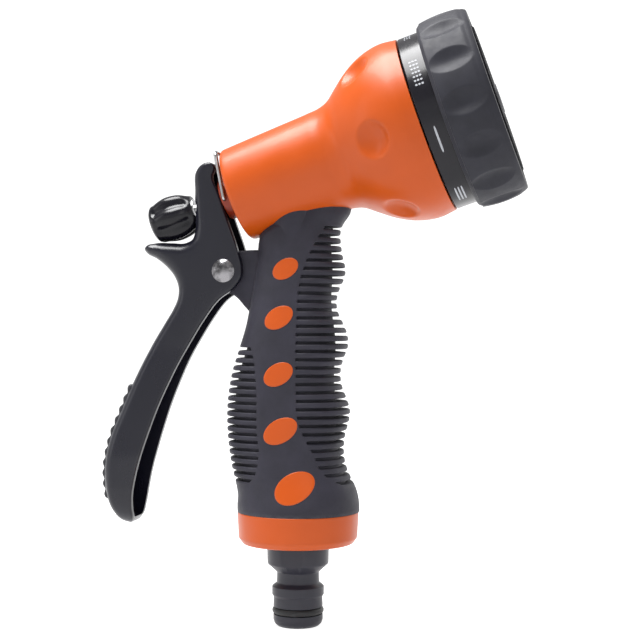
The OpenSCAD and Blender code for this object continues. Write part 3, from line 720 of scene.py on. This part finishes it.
def lever_round(x, z):
    """The finger side is well rounded, the open side nearly square."""
    front = np.interp(z, [33, 41, 61, 84, 101, 107, 117, 141], [-53, -51.2, -46, -36, -25, -17.5, -18, -26.3])
    return np.interp(front - x, [0.5, 4.5, 9], [0.5, 1.8, 3.4])


def build_lever():
    """The squeeze lever: rounded outside, open towards the grip."""
    wall = 2.1
    loop = smooth_loop(LEVER_OUTLINE, 0.62)
    verts, faces = pillow(loop, lever_half_width, lever_round, 0.4)
    lever = mesh_object("trigger_lever_shell", verts, faces, LEVER, "trigger",
                        "trigger_lever", sharp=45)
    hollow = smooth_loop(LEVER_HOLLOW, 1.1)
    cutter = pillow(hollow, lambda x, z: lever_half_width(x, z) - wall, lambda x, z: np.full_like(x, 0.8))
    cut(lever, *cutter, sharp=45)
    stem_slot = circle(2.25, 48, (-0.1, 0), 2.2)
    washer_seat = circle(5.6)
    # the horn has a shallow trough, so the knob clears it when it is turned back
    knob_trough = circle(7.2, 96)
    for outline, s0, s1 in ((stem_slot, -46, -28), (washer_seat, -45, -33.2), (knob_trough, -53, -44)):
        cut(lever, *bar_along_head(outline, s0, s1), sharp=45)


def build_pad():
    """Ridged rubber strip on the lever's back, a little narrower than the lever."""
    low, high, pitch, sides = 38.6, 75.4, 3.35, 41
    line = [(31, -54.6), (36.4, -59.2), (38.5, -60), (41, -60.5), (48, -61), (55.4, -60), (60.6, -58.5),
            (65, -56.7), (75.8, -52.3), (87, -46.7)]
    z = np.arange(low, high + 0.01, 0.18)
    x = spline(line, z)
    slope = np.gradient(x, z)
    normal = np.stack([-1 / np.hypot(1, slope), slope / np.hypot(1, slope)], 1)
    ridge = 0.5 + 0.5 * np.cos(2 * math.pi * (z - low - 1.8) / pitch)
    end = step(low, low + 0.9, z) * step(high, high - 0.9, z)
    height = end * (0.7 + 0.75 * ridge**0.7)
    across = np.linspace(-1, 1, sides)
    half = np.interp(z, [38, 50, 76], [8.0, 8.2, 5.9])
    fall = (1 - np.abs(across)**6)**0.5
    rows = []
    for i in range(len(z)):
        # the lever's back rolls away at its sides, and the strip follows it
        roll = 0.55 * np.abs(across)**5
        up = height[i] * fall - roll
        up[[0, -1]] = -0.9
        px = x[i] + normal[i, 0] * up
        pz = z[i] + normal[i, 1] * up
        rows.append(np.stack([px, across * half[i], pz], 1))
    under = []
    for i in range(len(z)):
        under.append(np.stack([np.full(sides, x[i] + 1.0), across * half[i], np.full(sides, z[i] - 0.3)], 1))
    rows, under = np.array(rows), np.array(under)
    loop = np.concatenate([rows, under[:, ::-1]], axis=1)
    count = loop.shape[1]
    verts = loop.reshape(-1, 3)
    faces = grid_faces(len(z), count, False, True)
    faces.append(tuple(range(count))[::-1])
    faces.append(tuple((len(z) - 1) * count + j for j in range(count)))
    mesh_object("trigger_pad_ridged", verts, faces, PAD, "trigger", "trigger_pad", sharp=60)


def build_rivet():
    """Domed rivet heads on both sides, and the shank between them."""
    def place(s, r, angle):
        s, r, angle = np.broadcast_arrays(s, r, angle)
        return np.stack([PIVOT[0] + r * np.cos(angle), s, PIVOT[2] + r * np.sin(angle)], -1)
    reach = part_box("pivot_rivet")[1][1] / MM
    seat, head, shank, rim = 6.45, 3.6, 2.0, 0.35
    dome = [(reach - (reach - seat - rim) * (k / 7)**2.2, head * (k / 7)) for k in range(1, 8)]
    right = [(reach, 0.02)] + dome + [(seat, head), (seat, shank)]
    profile = right + [(-s, r) for s, r in reversed(right)]
    # the rivet heads wear the nickel look, whose darkness is a painted reflection
    lathe("rivet", profile, place, NICKEL_PAINTED_REFLECTION, "body", "pivot_rivet", count=64)


def knob_fluted(s, r, angle):
    """Six finger flutes, deepest in the middle of the knob."""
    along = step(-49.6, -46.4, s) * step(-35.4, -37.6, s)
    lobe = 0.5 - 0.5 * np.cos(6 * angle)
    return r - np.where(r > 3, 1.15 * along * lobe**1.6, 0)


def build_knob():
    """The flow knob, with a recess for the washer and a bore for the stem."""
    outer = [(-49.4, 4.9), (-48.9, 5.65), (-47.0, 6.5), (-44.6, 7.25), (-43.0, 7.5), (-40.8, 7.4),
             (-39.0, 7.05), (-37.4, 6.4), (-36.3, 5.7), (-35.6, 5.2), (-35.1, 4.9)]
    s = np.linspace(-49.4, -35.1, 56)
    body = np.stack([s, spline(outer, s)], 1)
    inner = [(-35.05, 4.6), (-35.05, 3.85), (-35.6, 3.85), (-35.6, 2.05), (-48.0, 2.05), (-48.1, 0.02),
             (-49.6, 0.02), (-49.6, 2.2), (-49.58, 4.2)]
    profile = np.concatenate([body, np.array(inner)])
    lathe("flow_knob_fluted", profile, on_head, KNOB, "knob", "flow_knob",
          count=144, shape=knob_fluted)


# ---- dial ---------------------------------------------------------------------

BEZEL_REAR, BEZEL_FRONT = 49.7, 65.7
BEZEL_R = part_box("dial_bezel")[1][1] / MM
SCALLOPS = 14
SCALLOP_TURN = math.radians(-3.9)
MARK_R = 27.4


def scalloped(s, r, angle):
    """Oval finger hollows round the bezel, with soft rims."""
    middle = (BEZEL_REAR + BEZEL_FRONT) / 2
    pitch = 2 * math.pi / SCALLOPS
    off = (angle - SCALLOP_TURN + pitch / 2) % pitch - pitch / 2
    far = np.hypot((s - middle + 0.4) / 6.9, off * (BEZEL_R - 0.5) / 4.0)
    hollow = np.clip(1 - far**2, 0, 1)
    return r - np.where(r > BEZEL_R - 2.7, 1.6 * hollow**1.25, 0)


def build_bezel():
    """The rubber bezel: a crowned band with scallops and a rolled front lip."""
    middle = (BEZEL_REAR + BEZEL_FRONT) / 2
    corners = [(49.75, 26.05), (49.75, BEZEL_R - 1.7, 0.7), (50.7, BEZEL_R - 1, 0.5)]
    rear = rounded(corners + [(53, BEZEL_R - 0.5)], 4)[:-1]
    s = np.arange(50.9, 64.3, 0.2)
    top = BEZEL_R + 0.05
    crown = np.stack([s, top - 0.0155 * (s - middle + 0.3)**2 - 0.25 * step(62.6, 64.3, s)], 1)
    lip = [(64.6, top - 1.05), (65.65, top - 1.65, 0.5), (65.7, 24.9, 0.4), (64.8, 24.85), (64.8, 26.05)]
    front = rounded(lip, 4)
    profile = np.concatenate([rear, crown, front])
    lathe("dial_bezel_scalloped", profile, on_head, BEZEL, "dial", "dial_bezel",
          count=720, shape=scalloped, sharp=30)


def build_label_ring():
    """The black ring that carries the marks and runs on inside the bezel."""
    rear, step_at, front = 43.3, 49.72, 64.7
    bore, under_bezel, outer = 24.6, 26.0, MARK_R
    profile = rounded([(rear, bore), (rear, outer, 0.35), (step_at, outer), (step_at, under_bezel),
                       (front, under_bezel), (front, bore)], 5)
    lathe("label_ring_turned", profile, on_head, RING, "dial", "label_ring", count=240)


# Raised pictograms for the eight spray patterns: strokes of (round, along, half round, half along) in mm
MARKS = {
    "jet": [(0, 0, 4.2, 0.3)],
    "shower": [(1.4 * i, 0.95 * j, 0.34, 0.34) for i in range(-3, 4) for j in (-1, 0, 1)],
    "mist": [(1.05 * i + 0.5 * (j % 2), 0.8 * j, 0.24, 0.24) for i in range(-4, 4) for j in (-1, 0, 1)],
    "cone": [(-3.4, 0, 0.5, 0.3), (-1.2, 0.5, 1.4, 0.24), (-1.2, -0.5, 1.4, 0.24), (2.2, 1.1, 1.3, 0.24),
             (2.2, -1.1, 1.3, 0.24)],
    "flat": [(1.3 * i, 0, 0.24, 1.2) for i in range(-3, 4)],
    "soaker": [(2.9 * i, 0, 0.8, 0.8) for i in (-1, 0, 1)],
    "centre": [(0, 0, 1.25, 1.25), (-2.8, 0, 0.5, 0.5), (2.8, 0, 0.5, 0.5)],
    "full": [(0, -1, 3.9, 0.24), (0, 0, 3.9, 0.24), (0, 1, 3.9, 0.24)],
}


def stroke(centre_angle, radius, middle, shape):
    """One flat-topped dash that follows the ring's curve: vertices and faces."""
    round_at, along_at, half_round, half_along = shape
    count = max(6, 2 * int(half_round / 0.35))
    u = np.linspace(-1, 1, count)
    half = half_along * np.sqrt(1 - np.abs(u)**6)
    rows = []
    for side, height in ((-1, -0.12), (-1, 0.06), (1, 0.06), (1, -0.12)):
        angle = centre_angle - (round_at + u * half_round) / radius
        rows.append(on_head(middle + along_at + side * half, radius + height, angle))
    faces = grid_faces(4, count, True, False)
    faces += [tuple(k * count for k in range(4)), tuple(k * count + count - 1 for k in range(4))[::-1]]
    return np.concatenate(rows), faces


def build_marks():
    """The eight pictograms, evenly round the ring."""
    radius, middle, first_angle = MARK_R, 46.5, math.radians(-20)
    for index, (name, strokes) in enumerate(MARKS.items()):
        centre = first_angle + index * 2 * math.pi / len(MARKS)
        verts, faces, first = [], [], 0
        for shape in strokes:
            points, found = stroke(centre, radius, middle, shape)
            verts.append(points)
            faces += [tuple(first + k for k in face) for face in found]
            first += len(points)
        mesh_object("mark_" + name, np.concatenate(verts), faces, PRINT, "dial", sharp=30)


# ---- plug ---------------------------------------------------------------------

def build_plug():
    """The quick-connect plug and its O-ring."""
    low, top = BASE_LOW - 0.05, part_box("hose_tail")[1][2] / MM
    profile = rounded([
        (0, 4.6, 0.3), (0, 6.4, 0.8), (0.9, 7.35, 0.8), (2.1, 7.75, 0.5), (3.75, 7.75, 0.15),
        (3.75, 5.85, 0.2), (6.05, 5.85, 0.2), (6.05, 7.75, 0.15), (9.1, 7.65, 0.6), (9.9, 8.15, 0.25),
        (12.4, 8.15, 0.35), (13.5, 6.7, 0.7), (16.8, 6.6, 0.6), (19.5, 9.6, 0.9), (low, 9.75, 0.2),
        (low, 9.3), (top, 9.3), (top, 4.6)], 5)

    def flats(s, r, angle):
        """Two spanner flats cut the shoulder."""
        flat = 9.0
        across = np.abs(r * np.cos(angle))
        on_shoulder = (s > 18.9) & (s < low + 0.1) & (r > flat)
        limit = flat / np.maximum(np.abs(np.cos(angle)), 1e-6)
        return np.where(on_shoulder & (across > flat), np.minimum(r, limit), r)

    lathe("hose_plug_turned", profile, on_handle, PLUG, "body", "hose_tail", count=144,
          shape=flats)
    turn = np.linspace(0, 2 * math.pi, 20, endpoint=False)
    ring_at, ring_r, cord = 4.9, 7.0, 1.1
    ring = np.stack([ring_at + cord * np.sin(turn), ring_r + cord * np.cos(turn)], 1)
    lathe("plug_o_ring", ring, on_handle, SEAL, "body", "tail_o_ring", count=96)


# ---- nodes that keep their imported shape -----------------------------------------

def dress_inner_nodes():
    """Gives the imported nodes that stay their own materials."""
    looks = {
        "tail_washer": SEAL, "gland_seal": SEAL, "stem_seal": SEAL, "valve_seal": SEAL, "selector_seal": SEAL,
        "valve_spring": STEEL, "selector_spring": STEEL, "detent_spring": STEEL, "valve_stem": STEEL,
        "knob_washer": STEEL, "screw_washer": STEEL, "centre_screw": STEEL, "detent_ball": STEEL,
        "stem_nut": BRASS, "port_plate": INNER, "divider": INNER, "spray_plate": FACE, "centre_cap": CAP,
    }
    for name, look in looks.items():
        mesh = frame["nodes"][name].data
        mesh.materials.clear()
        mesh.materials.append(look)


def squash_valve_spring():
    """Gives the valve spring a mesh of its own."""
    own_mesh(frame["nodes"]["valve_spring"])


# ---- stage ----------------------------------------------------------------------

def build_stage():
    """A pale floor that curves up all round into a bowl."""
    flat, sides = 1.6, 96
    rows = [(0, 0.0001), (0, 0.4), (0, 1.0), (0, flat)]
    rows += [(1.0 - math.cos(t), flat + math.sin(t)) for t in np.linspace(0.1, math.pi / 2, 12)]
    turn = np.linspace(0, 2 * math.pi, sides, endpoint=False)
    verts = []
    for z, r in rows:
        verts.append(np.stack([r * np.cos(turn), r * np.sin(turn), np.full(sides, z)], 1))
    mesh = bpy.data.meshes.new("floor")
    mesh.from_pydata(np.concatenate(verts).tolist(), [], grid_faces(len(rows), sides, False, True))
    for polygon in mesh.polygons:
        polygon.use_smooth = True
    look = Look("floor_white")
    tone = look.spread(look.noise(3.0), 0.3, 0.7, 0.0, 1.0)
    look.link(look.mix(tone, (0.40, 0.40, 0.40), (0.42, 0.42, 0.42)), look.shader.inputs["Base Color"])
    look.shader.inputs["Roughness"].default_value = 0.9
    look.shader.inputs["Specular IOR Level"].default_value = 0.1
    look.shader.inputs["Emission Color"].default_value = (1, 1, 1, 1)
    look.shader.inputs["Emission Strength"].default_value = 0.86
    mesh.materials.append(look.material)
    floor = bpy.data.objects.new("floor", mesh)
    bpy.context.scene.collection.objects.link(floor)


def area_light(name, place, target, size, power):
    """A soft white rectangle of light that faces its target."""
    data = bpy.data.lights.new(name, "AREA")
    data.shape = "RECTANGLE"
    data.size, data.size_y = size
    data.energy = power
    light = bpy.data.objects.new(name, data)
    light.location = place
    light.rotation_euler = (Vector(target) - Vector(place)).to_track_quat("-Z", "Y").to_euler()
    bpy.context.scene.collection.objects.link(light)


def build_light():
    """An even white world, a strong soft light from above and three faint ones."""
    world = bpy.data.worlds.new("studio")
    world.use_nodes = True
    world.node_tree.nodes["Background"].inputs["Color"].default_value = (1, 1, 1, 1)
    world.node_tree.nodes["Background"].inputs["Strength"].default_value = 0.52
    bpy.context.scene.world = world
    middle = (0, 0, 0.11)
    area_light("top", (-0.25, -0.1, 0.95), middle, (0.7, 0.5), 24.0)
    area_light("front", (0.5, -0.9, 0.55), middle, (0.4, 0.5), 0.9)
    area_light("left", (-0.9, -0.4, 0.4), middle, (0.3, 0.7), 1.2)
    area_light("rim", (0.6, 0.7, 0.5), middle, (0.5, 0.6), 1.6)
    bpy.context.scene.view_settings.view_transform = "Standard"


def build_camera():
    """Level camera a little round towards the dial, as far off as a hand-held close-up."""
    turn = math.radians(10.9)
    distance = 0.453
    target = Vector((0.007, 0, 0.0955))
    data = bpy.data.cameras.new("camera")
    data.sensor_width = 36
    data.lens = 81.56
    data.clip_start = 0.01
    camera = bpy.data.objects.new("camera", data)
    camera.location = target + distance * Vector((math.sin(turn), -math.cos(turn), 0))
    camera.rotation_euler = (target - camera.location).to_track_quat("-Z", "Y").to_euler()
    bpy.context.scene.collection.objects.link(camera)
    bpy.context.scene.camera = camera


build_head_shell()
build_gland()
build_lock_wire()
build_grip()
build_base_ring()
build_windows()
build_lug()
build_lever()
build_pad()
build_rivet()
build_knob()
build_bezel()
build_label_ring()
build_marks()
build_plug()
dress_inner_nodes()
squash_valve_spring()
build_stage()
build_light()
build_camera()
